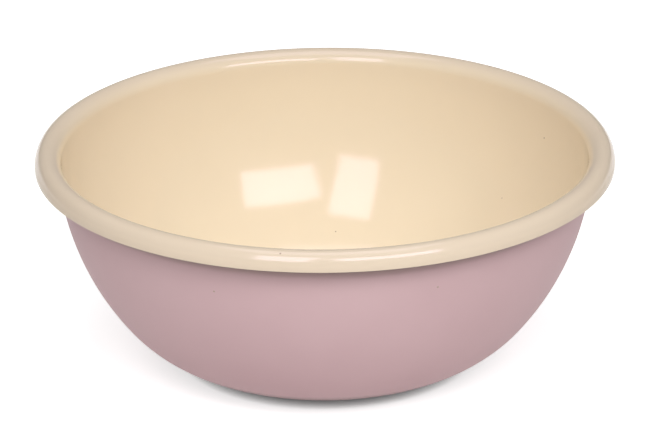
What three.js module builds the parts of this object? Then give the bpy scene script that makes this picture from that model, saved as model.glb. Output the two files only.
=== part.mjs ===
import * as THREE from 'three';

// Enamelled steel bowl, built as it is made: one drawn sheet of steel whose edge is turned over
// outwards, with a dark ground coat and a coloured cover coat of enamel fired onto each side.
// Millimetres, +Z up, origin at the centre of the flat base.

// Driving dimensions, in millimetres and degrees
const RIM_DIAMETER = 180;    // over the outermost line of the turned-over rim
const HEIGHT = 69;           // from the base to the top of the rim
const BASE_DIAMETER = 61.6;  // flat underside that the bowl stands on
const TURN_SLOPE = 51.1;     // slope of the wall where the bottom curve meets the side curve
const RIM_OVERHANG = 6.8;    // how far the rim stands out past the wall
const RIM_CROWN = 3.3;       // radius of the rim's crown, over its enamel
const CROWN_TURN = 50;       // how far the crown turns over from its top, where it is level
const RIM_FLANK = 5.4;       // radius of the rim's flank, over its enamel, from the crown to the edge
const RIM_TURN = 105;        // how far the rim is turned over in all
const STEEL = 0.7;           // sheet thickness
const GROUND_COAT = 0.12;    // ground enamel on each side
const COVER_COAT = 0.18;     // cover enamel on each side

// Smoothness of the turned surfaces
const FACETS = 48;
const BOTTOM_STEPS = 4;
const SIDE_STEPS = 4;
const LIP_STEPS = 3;
const CROWN_STEPS = 3;
const FLANK_STEPS = 2;
const EDGE_STEPS = 1;

// Depths of the layers, measured inwards from the finished outside face
const pinkDepth = COVER_COAT;
const outsideGroundDepth = pinkDepth + GROUND_COAT;
const steelDepth = outsideGroundDepth + STEEL;
const insideGroundDepth = steelDepth + GROUND_COAT;
const fullDepth = insideGroundDepth + COVER_COAT;

// The outside of the wall rises from the flat base as two tangent arcs: it leaves the base level,
// and it is upright at the height of the rim. Two equations, for the run outwards and for the rise,
// give the two radii.
const turn = THREE.MathUtils.degToRad(TURN_SLOPE);
const baseRadius = BASE_DIAMETER / 2;
const wallRadius = RIM_DIAMETER / 2 - RIM_OVERHANG;
const run = wallRadius - baseRadius;
const sine = Math.sin(turn);
const cosine = Math.cos(turn);
const determinant = (1 - sine) * (1 - cosine) - sine * cosine;
const sideRadius = (run * (1 - cosine) - HEIGHT * sine) / determinant;
const bottomRadius = ((1 - sine) * HEIGHT - run * cosine) / determinant;
const bottomCentre = new THREE.Vector2(baseRadius, bottomRadius);
const sideCentre = new THREE.Vector2(wallRadius - sideRadius, HEIGHT);

// The rim is two tangent arcs: a tight crown that is level at its top, and a flatter flank that
// passes the outermost line and ends a little under it.
const rimTop = Math.PI / 2;
const crownEnd = rimTop - THREE.MathUtils.degToRad(CROWN_TURN);
const rimOutside = 0;
const rimEnd = rimTop - THREE.MathUtils.degToRad(RIM_TURN);
const spread = RIM_FLANK - RIM_CROWN;
const flankCentreX = RIM_DIAMETER / 2 - RIM_FLANK;
const crownCentre = new THREE.Vector2(flankCentreX + spread * Math.cos(crownEnd), HEIGHT - RIM_CROWN);
const flankCentre = new THREE.Vector2(flankCentreX, crownCentre.y - spread * Math.sin(crownEnd));

// The lip is the one arc that touches the finished inside of the wall and is level where it meets
// the top of the rim.
const insideRadius = sideRadius - fullDepth;
const reach = crownCentre.x - sideCentre.x;
const lipRadius = (reach ** 2 - insideRadius ** 2) / (2 * insideRadius);
const lipCentre = new THREE.Vector2(crownCentre.x, HEIGHT - lipRadius);
const lipStart = Math.atan2(-lipRadius, reach);

// Each bend gives its radius at the finished outside face. Depth shortens the radius where the bend
// is centred inside the bowl (-1) and lengthens it where the sheet turns over outwards (+1).
// The flank is parted at its outermost line, so that this line is a point of the sheet.
const bends = [
  {
    centre: bottomCentre, radius: bottomRadius, growth: -1,
    from: -Math.PI / 2, to: turn - Math.PI / 2, steps: BOTTOM_STEPS,
  },
  {
    centre: sideCentre, radius: sideRadius, growth: -1,
    from: turn - Math.PI / 2, to: lipStart, steps: SIDE_STEPS,
  },
  {
    centre: lipCentre, radius: lipRadius - fullDepth, growth: 1,
    from: lipStart + Math.PI, to: rimTop, steps: LIP_STEPS,
  },
  {
    centre: crownCentre, radius: RIM_CROWN - fullDepth, growth: 1,
    from: rimTop, to: crownEnd, steps: CROWN_STEPS,
  },
  {
    centre: flankCentre, radius: RIM_FLANK - fullDepth, growth: 1,
    from: crownEnd, to: rimOutside, steps: FLANK_STEPS,
  },
  {
    centre: flankCentre, radius: RIM_FLANK - fullDepth, growth: 1,
    from: rimOutside, to: rimEnd, steps: EDGE_STEPS,
  },
];

// The line of the sheet at one depth, from the axis out along its bends to the cut edge
function sheetLine(depth) {
  const points = [new THREE.Vector2(0, depth)];
  bends.forEach((bend, index) => {
    const { centre, growth, from, to, steps } = bend;
    const radius = bend.radius + growth * depth;
    const clockwise = growth > 0;
    const arc = new THREE.ArcCurve(centre.x, centre.y, radius, from, to, clockwise);
    const arcPoints = arc.getPoints(steps);
    points.push(...(index === 0 ? arcPoints : arcPoints.slice(1)));
  });
  return points;
}

// One layer of the bowl: the space between two depths, turned about the axis
function layer(name, outerDepth, innerDepth, material) {
  const outerLine = sheetLine(outerDepth);
  const innerLine = sheetLine(innerDepth).reverse();
  const geometry = new THREE.LatheGeometry([...outerLine, ...innerLine], FACETS);
  geometry.rotateX(Math.PI / 2);
  const mesh = new THREE.Mesh(geometry, material);
  mesh.name = name;
  return mesh;
}

const steel = new THREE.MeshStandardMaterial({ color: 0x9a9c9e, roughness: 0.45, metalness: 1 });
const groundEnamel = new THREE.MeshStandardMaterial({ color: 0x23262b, roughness: 0.25, metalness: 0 });
const pinkEnamel = new THREE.MeshStandardMaterial({ color: 0xcdadb0, roughness: 0.25, metalness: 0 });
const creamEnamel = new THREE.MeshStandardMaterial({ color: 0xeedcc3, roughness: 0.1, metalness: 0 });

const bowl = new THREE.Group();
bowl.name = 'enamel_bowl';
bowl.add(
  layer('pink_cover_coat', 0, pinkDepth, pinkEnamel),
  layer('ground_coat_outside', pinkDepth, outsideGroundDepth, groundEnamel),
  layer('steel_shell', outsideGroundDepth, steelDepth, steel),
  layer('ground_coat_inside', steelDepth, insideGroundDepth, groundEnamel),
  layer('cream_cover_coat', insideGroundDepth, fullDepth, creamEnamel),
);

export default bowl;
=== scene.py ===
import math

import bpy
import numpy as np
from mathutils import Matrix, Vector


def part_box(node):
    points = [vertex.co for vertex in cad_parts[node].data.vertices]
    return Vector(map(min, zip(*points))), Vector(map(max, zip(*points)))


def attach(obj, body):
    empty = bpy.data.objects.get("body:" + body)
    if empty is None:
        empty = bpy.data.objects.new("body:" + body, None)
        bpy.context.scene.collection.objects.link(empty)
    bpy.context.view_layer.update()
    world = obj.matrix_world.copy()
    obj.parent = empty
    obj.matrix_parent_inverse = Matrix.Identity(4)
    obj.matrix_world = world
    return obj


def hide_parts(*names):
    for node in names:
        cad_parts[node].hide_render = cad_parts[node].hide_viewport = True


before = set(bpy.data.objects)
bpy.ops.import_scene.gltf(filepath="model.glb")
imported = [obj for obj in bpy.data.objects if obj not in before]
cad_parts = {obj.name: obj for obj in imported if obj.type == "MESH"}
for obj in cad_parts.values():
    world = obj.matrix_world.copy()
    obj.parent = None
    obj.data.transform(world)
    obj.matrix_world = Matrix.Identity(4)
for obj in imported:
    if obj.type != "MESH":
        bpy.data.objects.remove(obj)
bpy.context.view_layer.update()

# The steel shell: one disc of sheet steel, drawn into a bowl with a flat base, whose edge is
# turned over outwards into a rim that stands clear of the wall. The fired coats all follow its
# line, so the line is worked out here. Metres throughout.
RIM_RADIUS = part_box("cream_cover_coat")[1].x
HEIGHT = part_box("cream_cover_coat")[1].z
BASE_RADIUS = 0.0308               # flat underside that the bowl stands on
TURN_SLOPE = math.radians(51.1)    # slope of the wall where the bottom curve meets the side curve
RIM_OVERHANG = 0.0068              # how far the rim stands out past the wall
RIM_CROWN = 0.0033                 # radius of the rim's crown, over its enamel
CROWN_TURN = math.radians(50)      # how far the crown turns over from its top
RIM_FLANK = 0.0054                 # radius of the rim's flank, over its enamel
RIM_TURN = math.radians(105)       # how far the rim is turned over in all
STEEL_DARK = (0.34, 0.34, 0.35, 1)
STEEL_LIGHT = (0.48, 0.48, 0.49, 1)
STEEL_ROUGHNESS = 0.42

# Smoothness of the turned surfaces
FLOOR_STEPS = 12
BOTTOM_STEPS = 40
SIDE_STEPS = 44
LIP_STEPS = 24
CROWN_STEPS = 18
FLANK_STEPS = 20
WRAP_STEPS = 10
TURNS = 256

# Depth of each layer under the finished outside face, read off the floor of the bowl
GROUND_OUTSIDE_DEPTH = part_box("ground_coat_outside")[0].z
STEEL_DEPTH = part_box("steel_shell")[0].z
GROUND_INSIDE_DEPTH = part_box("ground_coat_inside")[0].z
CREAM_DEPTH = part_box("cream_cover_coat")[0].z
FULL_DEPTH = CREAM_DEPTH + GROUND_OUTSIDE_DEPTH
MIDDLE_DEPTH = FULL_DEPTH / 2

# Two tangent arcs make the wall: level at the base, upright at the height of the rim
wall_radius = RIM_RADIUS - RIM_OVERHANG
turn_sine, turn_cosine = math.sin(TURN_SLOPE), math.cos(TURN_SLOPE)
wall_equations = [[1 - turn_sine, turn_sine], [turn_cosine, 1 - turn_cosine]]
side_radius, bottom_radius = np.linalg.solve(wall_equations, [wall_radius - BASE_RADIUS, HEIGHT])
bottom_centre = np.array([BASE_RADIUS, bottom_radius])
side_centre = np.array([wall_radius - side_radius, HEIGHT])

# The rim is a tight crown, level at its top, and a flatter flank that ends under its outermost line
crown_end = math.pi / 2 - CROWN_TURN
crown_spoke = np.array([math.cos(crown_end), math.sin(crown_end)])
spread = RIM_FLANK - RIM_CROWN
crown_centre = np.array([RIM_RADIUS - RIM_FLANK + spread * crown_spoke[0], HEIGHT - RIM_CROWN])
flank_centre = crown_centre - spread * crown_spoke

# The lip is the arc that touches the inside of the wall and is level at the top of the rim
inside_radius = side_radius - FULL_DEPTH
reach = crown_centre[0] - side_centre[0]
lip_radius = (reach**2 - inside_radius**2) / (2 * inside_radius)
lip_centre = np.array([crown_centre[0], HEIGHT - lip_radius])
lip_start = math.atan2(-lip_radius, reach)

# The ground coat wraps the cut edge of the steel, so the steel stops short by that wrap
middle_bend = RIM_FLANK - MIDDLE_DEPTH
ground_wrap = MIDDLE_DEPTH - GROUND_OUTSIDE_DEPTH
rim_end = math.pi / 2 - RIM_TURN + ground_wrap / middle_bend
edge_side = np.array([math.cos(rim_end), math.sin(rim_end)])
edge_ahead = np.array([math.sin(rim_end), -math.cos(rim_end)])
edge_centre = flank_centre + middle_bend * edge_side

# Each bend: centre, radius at the outside face, how depth changes that radius, start, end, steps
BENDS = [
    (bottom_centre, bottom_radius, -1, -math.pi / 2, TURN_SLOPE - math.pi / 2, BOTTOM_STEPS),
    (side_centre, side_radius, -1, TURN_SLOPE - math.pi / 2, lip_start, SIDE_STEPS),
    (lip_centre, lip_radius - FULL_DEPTH, 1, lip_start + math.pi, math.pi / 2, LIP_STEPS),
    (crown_centre, RIM_CROWN - FULL_DEPTH, 1, math.pi / 2, crown_end, CROWN_STEPS),
    (flank_centre, RIM_FLANK - FULL_DEPTH, 1, crown_end, rim_end, FLANK_STEPS),
]


def sheet_line(depth):
    """Points (radius, height) of the sheet at one depth under its outside face: straight out from
    the axis along the base, then round each bend at its radius plus or minus the depth."""
    base = np.linspace(0, BASE_RADIUS, FLOOR_STEPS + 1)
    stretches = [np.column_stack([base, np.full_like(base, depth)])]
    for centre, radius, growth, start, end, steps in BENDS:
        angle = np.linspace(start, end, steps + 1)[1:]
        spoke = np.column_stack([np.cos(angle), np.sin(angle)])
        stretches.append(centre + (radius + growth * depth) * spoke)
    return np.concatenate(stretches)


def wrapped_line(depth, end_depth, sweep):
    """The sheet's line at one depth, carried on round the cut edge: an arc about the middle of the
    edge, whose radius passes smoothly from that of the depth to that of the end depth."""
    share = np.linspace(0, 1, WRAP_STEPS + 1)[1:, None]
    ease = share * share * (3 - 2 * share)
    radius = (depth - MIDDLE_DEPTH) * (1 - ease) + (end_depth - MIDDLE_DEPTH) * ease
    swing = sweep * share
    arc = edge_centre + radius * np.cos(swing) * edge_side + abs(radius) * np.sin(swing) * edge_ahead
    return np.concatenate([sheet_line(depth), arc])


def turned_layer(name, outer, inner):
    """Closed solid of revolution between two lines: out from the axis on the outer line, across at
    the edge, back to the axis on the inner line. A point at radius r and height z goes to
    (r cos t, r sin t, z) for every angle t of the turn."""
    line = np.concatenate([outer, inner[::-1]])
    rings = line[1:-1]
    angle = np.arange(TURNS) * 2 * math.pi / TURNS
    x = rings[:, :1] * np.cos(angle)
    y = rings[:, :1] * np.sin(angle)
    z = np.broadcast_to(rings[:, 1:], x.shape)
    points = np.stack([x, y, z], axis=-1).reshape(-1, 3)
    poles = [[0, 0, line[0, 1]], [0, 0, line[-1, 1]]]
    step = np.arange(TURNS)
    following = (step + 1) % TURNS
    start = np.arange(len(rings) - 1)[:, None] * TURNS
    quads = np.stack(
        [start + step, start + following, start + TURNS + following, start + TURNS + step], axis=-1)
    last = (len(rings) - 1) * TURNS
    below = np.column_stack([np.full(TURNS, len(points)), following, step])
    above = np.column_stack([np.full(TURNS, len(points) + 1), last + step, last + following])
    faces = quads.reshape(-1, 4).tolist() + below.tolist() + above.tolist()
    mesh = bpy.data.meshes.new(name)
    mesh.from_pydata(np.concatenate([points, poles]).tolist(), [], faces)
    mesh.polygons.foreach_set("use_smooth", np.ones(len(faces), bool))
    piece = bpy.data.objects.new(name, mesh)
    bpy.context.scene.collection.objects.link(piece)
    return piece


def new_finish(name):
    """A node material as Blender starts it: its nodes, its links and its shader."""
    material = bpy.data.materials.new(name)
    material.use_nodes = True
    nodes, links = material.node_tree.nodes, material.node_tree.links
    return material, nodes, links, nodes["Principled BSDF"]


def place_on_piece(nodes):
    """Where a point lies on the piece, in the bowl's own frame."""
    return nodes.new("ShaderNodeTexCoord").outputs["Object"]


def object_noise(nodes, links, scale, detail):
    """Noise that is fixed to the piece, with about scale lumps to the metre."""
    noise = nodes.new("ShaderNodeTexNoise")
    noise.inputs["Scale"].default_value = scale
    noise.inputs["Detail"].default_value = detail
    links.new(place_on_piece(nodes), noise.inputs["Vector"])
    return noise


def bump_from(nodes, links, noise, height, before=None):
    """Bump of the given height in metres, on top of an earlier bump if there is one."""
    bump = nodes.new("ShaderNodeBump")
    bump.inputs["Strength"].default_value = 1.0
    bump.inputs["Distance"].default_value = height
    links.new(noise.outputs["Fac"], bump.inputs["Height"])
    if before:
        links.new(before.outputs["Normal"], bump.inputs["Normal"])
    return bump


def bare_steel():
    """Dull drawn sheet: grey metal with faint pickling stains."""
    material, nodes, links, shader = new_finish("bare_steel")
    stains = object_noise(nodes, links, scale=60, detail=4)
    tint = nodes.new("ShaderNodeValToRGB")
    tint.color_ramp.elements[0].color = STEEL_DARK
    tint.color_ramp.elements[1].color = STEEL_LIGHT
    links.new(stains.outputs["Fac"], tint.inputs["Fac"])
    links.new(tint.outputs["Color"], shader.inputs["Base Color"])
    shader.inputs["Metallic"].default_value = 1.0
    shader.inputs["Roughness"].default_value = STEEL_ROUGHNESS
    return material


steel_outside = wrapped_line(STEEL_DEPTH, STEEL_DEPTH, math.pi)
steel = turned_layer("steel_sheet", steel_outside, sheet_line(GROUND_INSIDE_DEPTH)[:-1])
steel.data.materials.append(bare_steel())
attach(steel, "root")
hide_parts("steel_shell")

# The ground coat: a thin, dark enamel that bites into the steel, dipped and fired first.
# It lies under both colours and round the cut edge of the rim, where it shows as a thin dark line.
GROUND_COLOUR = (0.016, 0.018, 0.024, 1)
GROUND_ROUGHNESS = 0.3
BUBBLE_HEIGHT = 0.00001


def ground_enamel():
    """Blue-black glass with the fine bubbles of a first firing."""
    material, nodes, links, shader = new_finish("ground_enamel")
    bubbles = object_noise(nodes, links, scale=1400, detail=2)
    bump = bump_from(nodes, links, bubbles, BUBBLE_HEIGHT)
    links.new(bump.outputs["Normal"], shader.inputs["Normal"])
    shader.inputs["Base Color"].default_value = GROUND_COLOUR
    shader.inputs["Roughness"].default_value = GROUND_ROUGHNESS
    return material


ground_finish = ground_enamel()
ground_outside_face = wrapped_line(GROUND_OUTSIDE_DEPTH, GROUND_OUTSIDE_DEPTH, math.pi)
ground_outside = turned_layer("ground_enamel_outside", ground_outside_face, steel_outside)
ground_inside = turned_layer(
    "ground_enamel_inside", sheet_line(GROUND_INSIDE_DEPTH), sheet_line(CREAM_DEPTH))
for coat, node in ((ground_outside, "ground_coat_outside"), (ground_inside, "ground_coat_inside")):
    coat.data.materials.append(ground_finish)
    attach(coat, "root")
    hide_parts(node)

# The pink cover coat: opaque dusty pink enamel over the outside of the base, the wall and the
# underside of the rim, sprayed on and fired to a satin finish. Its colour is painted darker just
# below the rim and at the foot: painted shade for the shadow under the rim and the contact shade by the
# table.
PINK = (0.682, 0.475, 0.490, 1)
PINK_DEEP = (0.665, 0.458, 0.474, 1)
PINK_ROUGHNESS = 0.55
PINK_GLOSS = 0.12
# painted shade: pink darkened just below the rim, for the shadow under its overhang
PAINTED_RIM_SHADE_PINK = (0.450, 0.314, 0.298, 1)
RIM_SHADE_START = HEIGHT - 0.0114
RIM_SHADE_FULL = HEIGHT - 0.0084
# painted shade: pink darkened at the foot, for the contact shade near the table
PAINTED_FOOT_SHADE_PINK = (0.300, 0.212, 0.208, 1)
FOOT_TOP = 0.0090
FOOT_BOTTOM = 0.0030
PINK_WRAP = math.radians(50)
COAT_END = 0.00001

# What the two cover coats share: the glass, its ripple and orange peel, and its pinholes, whose
# size is in widths of the cells that they are scattered in
ENAMEL_IOR = 1.52
RIPPLE_HEIGHT = 0.00006
PEEL_HEIGHT = 0.000006
PINHOLE_COLOUR = (0.45, 0.34, 0.25, 1)
PINHOLE_CELLS = 300
PINHOLE_EDGE = 0.11
PINHOLE_CORE = 0.06
WHOLE_CELLS = 0.983


def cover_enamel(name, roughness, specular):
    """Opaque coloured glass, with the slow ripple and the fine orange peel that a sprayed coat
    keeps after firing. The colour is left to the coat."""
    material, nodes, links, shader = new_finish(name)
    ripple = bump_from(nodes, links, object_noise(nodes, links, scale=90, detail=1), RIPPLE_HEIGHT)
    peel = bump_from(nodes, links, object_noise(nodes, links, scale=520, detail=2), PEEL_HEIGHT, ripple)
    links.new(peel.outputs["Normal"], shader.inputs["Normal"])
    shader.inputs["Roughness"].default_value = roughness
    shader.inputs["IOR"].default_value = ENAMEL_IOR
    shader.inputs["Specular IOR Level"].default_value = specular
    return material, nodes, links, shader


def cloudy_tone(nodes, links, deep_colour, colour):
    """A tone that drifts by a few per cent, as the coat lies thicker or thinner."""
    clouds = object_noise(nodes, links, scale=28, detail=3)
    tone = nodes.new("ShaderNodeValToRGB")
    tone.color_ramp.elements[0].position = 0.35
    tone.color_ramp.elements[0].color = deep_colour
    tone.color_ramp.elements[1].position = 0.65
    tone.color_ramp.elements[1].color = colour
    links.new(clouds.outputs["Fac"], tone.inputs["Fac"])
    return tone.outputs["Color"]


def plain_tone(nodes, colour):
    """One colour, to be blended with another tone."""
    tone = nodes.new("ShaderNodeRGB").outputs["Color"]
    tone.default_value = colour
    return tone


def smooth_ramp(nodes, links, value, start, end):
    """Nought on the near side of the start, one past the end, smooth between them. The end may
    lie below the start."""
    ramp = nodes.new("ShaderNodeMapRange")
    ramp.interpolation_type = "SMOOTHSTEP"
    ramp.inputs["From Min"].default_value = start
    ramp.inputs["From Max"].default_value = end
    links.new(value, ramp.inputs["Value"])
    return ramp.outputs["Result"]


def product(nodes, links, first, second):
    """The first value times the second."""
    times = nodes.new("ShaderNodeMath")
    times.operation = "MULTIPLY"
    links.new(first, times.inputs[0])
    links.new(second, times.inputs[1])
    return times.outputs[0]


def blend(nodes, links, factor, first, second):
    """The first colour where the factor is nought, the second where it is one."""
    mix = nodes.new("ShaderNodeMix")
    mix.data_type = "RGBA"
    links.new(factor, mix.inputs["Factor"])
    links.new(first, mix.inputs["A"])
    links.new(second, mix.inputs["B"])
    return mix.outputs["Result"]


def with_pinholes(nodes, links, colour):
    """The coat's colour with a few pinholes, which show the ground coat: a random pattern of cells
    about 3 mm wide, of which one in sixty holds a dark point at its seed."""
    cells = nodes.new("ShaderNodeTexVoronoi")
    cells.inputs["Scale"].default_value = PINHOLE_CELLS
    links.new(place_on_piece(nodes), cells.inputs["Vector"])
    near_seed = smooth_ramp(nodes, links, cells.outputs["Distance"], PINHOLE_EDGE, PINHOLE_CORE)
    chance = nodes.new("ShaderNodeSeparateColor")
    links.new(cells.outputs["Color"], chance.inputs["Color"])
    chosen = nodes.new("ShaderNodeMath")
    chosen.operation = "GREATER_THAN"
    chosen.inputs[1].default_value = WHOLE_CELLS
    links.new(chance.outputs["Red"], chosen.inputs[0])
    pinhole = product(nodes, links, near_seed, chosen.outputs[0])
    return blend(nodes, links, pinhole, colour, plain_tone(nodes, PINHOLE_COLOUR))


def height_above_base(nodes, links):
    """Height of a point of the piece above the table."""
    apart = nodes.new("ShaderNodeSeparateXYZ")
    links.new(place_on_piece(nodes), apart.inputs[0])
    return apart.outputs["Z"]


pink_finish, nodes, links, shader = cover_enamel("pink_enamel", PINK_ROUGHNESS, PINK_GLOSS)
height = height_above_base(nodes, links)
# painted shade masks: darker pink just below the rim and at the foot
painted_rim_shade = smooth_ramp(nodes, links, height, RIM_SHADE_START, RIM_SHADE_FULL)
painted_foot_shade = smooth_ramp(nodes, links, height, FOOT_TOP, FOOT_BOTTOM)
pink_tone = cloudy_tone(nodes, links, PINK_DEEP, PINK)
for painted_shade, colour in ((painted_rim_shade, PAINTED_RIM_SHADE_PINK), (painted_foot_shade, PAINTED_FOOT_SHADE_PINK)):
    pink_tone = blend(nodes, links, painted_shade, pink_tone, plain_tone(nodes, colour))
links.new(with_pinholes(nodes, links, pink_tone), shader.inputs["Base Color"])
pink_coat = turned_layer(
    "pink_enamel",
    wrapped_line(0, GROUND_OUTSIDE_DEPTH - COAT_END, PINK_WRAP),
    wrapped_line(GROUND_OUTSIDE_DEPTH, GROUND_OUTSIDE_DEPTH, PINK_WRAP))
pink_coat.data.materials.append(pink_finish)
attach(pink_coat, "root")
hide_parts("pink_cover_coat")

# The cream cover coat: opaque cream enamel over the inside, the lip and the rim, down to the cut
# edge. It is glossy, so it mirrors the lamps. On the lip and the rim its colour is painted a little
# darker as painted shade, for the warm light bounced round the inside that they lack, and handling has
# worn it matt on the flank of the rim.
CREAM = (0.912, 0.782, 0.588, 1)
CREAM_DEEP = (0.902, 0.770, 0.576, 1)
CREAM_ROUGHNESS = 0.10
# painted shade: the same cream, darker on the lip and rim, for the light they lack
PAINTED_SHADE_RIM_CREAM = (0.822, 0.683, 0.530, 1)
PAINTED_SHADE_RIM_CREAM_DEEP = (0.810, 0.671, 0.518, 1)
CREAM_SHADE_FROM = RIM_RADIUS - 0.0090
CREAM_SHADE_TO = RIM_RADIUS - 0.0056
CREAM_WRAP = math.radians(20)
GLOSS_TINT = (1.0, 0.8, 1.0, 1)
GLOSS = 0.44
WORN_GLOSS = 0.06
FLANK_FROM = RIM_RADIUS - 0.0030
FLANK_TO = RIM_RADIUS - 0.0020
WORN_FROM = HEIGHT - 0.0022
WORN_TO = HEIGHT - 0.0034


def distance_from_axis(nodes, links):
    """Distance of a point of the piece from the bowl's axis."""
    flat = nodes.new("ShaderNodeVectorMath")
    flat.operation = "MULTIPLY"
    flat.inputs[1].default_value = (1, 1, 0)
    links.new(place_on_piece(nodes), flat.inputs[0])
    radius = nodes.new("ShaderNodeVectorMath")
    radius.operation = "LENGTH"
    links.new(flat.outputs["Vector"], radius.inputs[0])
    return radius.outputs["Value"]


cream_finish, nodes, links, shader = cover_enamel("cream_enamel", CREAM_ROUGHNESS, GLOSS)
shader.inputs["Specular Tint"].default_value = GLOSS_TINT
from_axis = distance_from_axis(nodes, links)
on_flank = smooth_ramp(nodes, links, from_axis, FLANK_FROM, FLANK_TO)
below_crown = smooth_ramp(nodes, links, height_above_base(nodes, links), WORN_FROM, WORN_TO)
gloss = nodes.new("ShaderNodeMath")
gloss.operation = "MULTIPLY_ADD"
links.new(product(nodes, links, on_flank, below_crown), gloss.inputs[0])
gloss.inputs[1].default_value = WORN_GLOSS - GLOSS
gloss.inputs[2].default_value = GLOSS
links.new(gloss.outputs[0], shader.inputs["Specular IOR Level"])
# painted shade mask: the lip and rim take the darker cream
cream_rim_shade = smooth_ramp(nodes, links, from_axis, CREAM_SHADE_FROM, CREAM_SHADE_TO)
wall_tone = cloudy_tone(nodes, links, CREAM_DEEP, CREAM)
shaded_rim_tone = cloudy_tone(nodes, links, PAINTED_SHADE_RIM_CREAM_DEEP, PAINTED_SHADE_RIM_CREAM)
cream_tone = blend(nodes, links, cream_rim_shade, wall_tone, shaded_rim_tone)
links.new(with_pinholes(nodes, links, cream_tone), shader.inputs["Base Color"])
cream_coat = turned_layer(
    "cream_enamel",
    wrapped_line(CREAM_DEPTH, CREAM_DEPTH, CREAM_WRAP),
    wrapped_line(FULL_DEPTH, CREAM_DEPTH + COAT_END, CREAM_WRAP))
cream_coat.data.materials.append(cream_finish)
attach(cream_coat, "root")
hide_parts("cream_cover_coat")

# The table and the room: a wide pale table top in a plain pale room. Where it is looked at, in
# person or in a reflection, the table is lifted to white, and it keeps the bowl's shadow.
FLOOR_HALF_SIDE = 8.0
FLOOR_COLOUR = (0.86, 0.86, 0.86, 1)
FLOOR_ROUGHNESS = 0.9
FLOOR_LIFT = 0.64
CONTACT_REACH = 0.003
CONTACT_SAMPLES = 8
WHITE = (1, 1, 1, 1)
ROOM_LIGHT = 0.26


def seen_directly(nodes, links):
    """One where the ray comes from the camera, a gloss or a clear surface, and nought elsewhere."""
    path = nodes.new("ShaderNodeLightPath")
    seen = path.outputs["Is Camera Ray"]
    for kind in ("Is Glossy Ray", "Is Transmission Ray"):
        either = nodes.new("ShaderNodeMath")
        either.operation = "MAXIMUM"
        links.new(seen, either.inputs[0])
        links.new(path.outputs[kind], either.inputs[1])
        seen = either.outputs[0]
    return seen


corner = FLOOR_HALF_SIDE
floor_mesh = bpy.data.meshes.new("floor")
floor_corners = [(-corner, -corner, 0), (corner, -corner, 0), (corner, corner, 0), (-corner, corner, 0)]
floor_mesh.from_pydata(floor_corners, [], [(0, 1, 2, 3)])
floor = bpy.data.objects.new("floor", floor_mesh)
bpy.context.scene.collection.objects.link(floor)
floor_finish, nodes, links, floor_shader = new_finish("pale_floor")
floor_shader.inputs["Base Color"].default_value = FLOOR_COLOUR
floor_shader.inputs["Roughness"].default_value = FLOOR_ROUGHNESS
floor_shader.inputs["Specular IOR Level"].default_value = 0.0
floor_shader.inputs["Emission Color"].default_value = WHITE
contact = nodes.new("ShaderNodeAmbientOcclusion")
contact.samples = CONTACT_SAMPLES
contact.inputs["Distance"].default_value = CONTACT_REACH
lift = nodes.new("ShaderNodeMath")
lift.operation = "MULTIPLY"
lift.inputs[1].default_value = FLOOR_LIFT
links.new(product(nodes, links, seen_directly(nodes, links), contact.outputs["AO"]), lift.inputs[0])
links.new(lift.outputs[0], floor_shader.inputs["Emission Strength"])
floor_mesh.materials.append(floor_finish)

world = bpy.data.worlds.new("pale_room")
bpy.context.scene.world = world
world.use_nodes = True
background = world.node_tree.nodes["Background"]
background.inputs["Color"].default_value = WHITE
background.inputs["Strength"].default_value = ROOM_LIGHT

# The lamps: two softboxes above and on both sides of the camera, a wide one to the right and
# a tall one to the left, and a large one overhead. The inside of the bowl mirrors the first two as
# bright panes, and the rim mirrors all three.
LAMP_DISTANCE = 1.3
AIM = np.array([0.0, 0.0, 0.04])
SOFT_EDGE = 0.10


def soft_border(nodes, links, across):
    """Rises smoothly from nought to one over the soft edge at both ends of a nought-to-one run."""
    near_end = smooth_ramp(nodes, links, across, 0.0, SOFT_EDGE)
    far_end = smooth_ramp(nodes, links, across, 1.0, 1.0 - SOFT_EDGE)
    return product(nodes, links, near_end, far_end)


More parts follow.
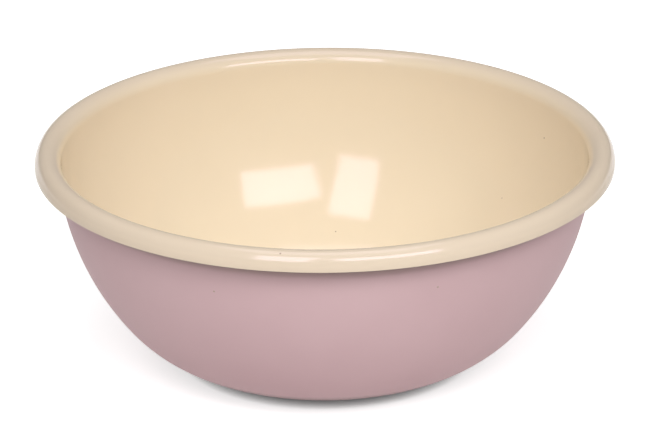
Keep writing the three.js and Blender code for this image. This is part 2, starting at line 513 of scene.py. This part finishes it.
def softbox(name, bearing, rise, roll, width, height, energy):
    """A flat rectangular lamp at a bearing (degrees right of the camera) and a rise (degrees)
    from the middle of the bowl, facing it and rolled about that line. Its light fades at the edges."""
    side, up = math.radians(bearing), math.radians(rise)
    away = np.array([math.sin(side) * math.cos(up), -math.cos(side) * math.cos(up), math.sin(up)])
    data = bpy.data.lights.new(name, "AREA")
    data.shape = "RECTANGLE"
    data.size, data.size_y = width, height
    data.energy = energy
    data.use_nodes = True
    nodes, links = data.node_tree.nodes, data.node_tree.links
    place = nodes.new("ShaderNodeNewGeometry")
    apart = nodes.new("ShaderNodeSeparateXYZ")
    links.new(place.outputs["Parametric"], apart.inputs[0])
    across = soft_border(nodes, links, apart.outputs["X"])
    upwards = soft_border(nodes, links, apart.outputs["Y"])
    links.new(product(nodes, links, across, upwards), nodes["Emission"].inputs["Strength"])
    lamp = bpy.data.objects.new(name, data)
    turn = Matrix.Rotation(side, 4, "Z") @ Matrix.Rotation(math.pi / 2 - up, 4, "X")
    spin = Matrix.Rotation(math.radians(roll), 4, "Z")
    lamp.matrix_world = Matrix.Translation(AIM + LAMP_DISTANCE * away) @ turn @ spin
    lamp.visible_camera = False
    bpy.context.scene.collection.objects.link(lamp)


softbox("wide_softbox", bearing=26.4, rise=38.5, roll=-4.9, width=0.90, height=0.40, energy=7.1)
softbox("tall_softbox", bearing=-17.5, rise=40.4, roll=-0.6, width=0.48, height=0.70, energy=6.2)
softbox("overhead_softbox", bearing=0.0, rise=97.0, roll=0.0, width=0.90, height=0.90, energy=5.0)

# The camera: a long lens, a little over twenty degrees above the table, looking at the middle
# of the bowl. The focal length is in pixels of a picture 650 wide.
FOCAL_PIXELS = 5000
PICTURE_WIDTH = 650
SENSOR_WIDTH = 36.0
NEAREST = 0.05
FARTHEST = 50
CAMERA_RISE = math.radians(22.034)
CAMERA_ROLL = math.radians(-0.488)
CAMERA_DISTANCE = 1.55803
CAMERA_TARGET = np.array([-0.000095, 0.0, 0.046645])

camera_data = bpy.data.cameras.new("camera")
camera_data.sensor_width = SENSOR_WIDTH
camera_data.lens = FOCAL_PIXELS * SENSOR_WIDTH / PICTURE_WIDTH
camera_data.clip_start, camera_data.clip_end = NEAREST, FARTHEST
camera = bpy.data.objects.new("camera", camera_data)
back = np.array([0, -math.cos(CAMERA_RISE), math.sin(CAMERA_RISE)])
place = Matrix.Translation(CAMERA_TARGET + CAMERA_DISTANCE * back)
tilt = Matrix.Rotation(math.pi / 2 - CAMERA_RISE, 4, "X")
roll = Matrix.Rotation(CAMERA_ROLL, 4, "Z")
camera.matrix_world = place @ tilt @ roll
bpy.context.scene.collection.objects.link(camera)
bpy.context.scene.camera = camera
bpy.context.scene.view_settings.view_transform = "Standard"
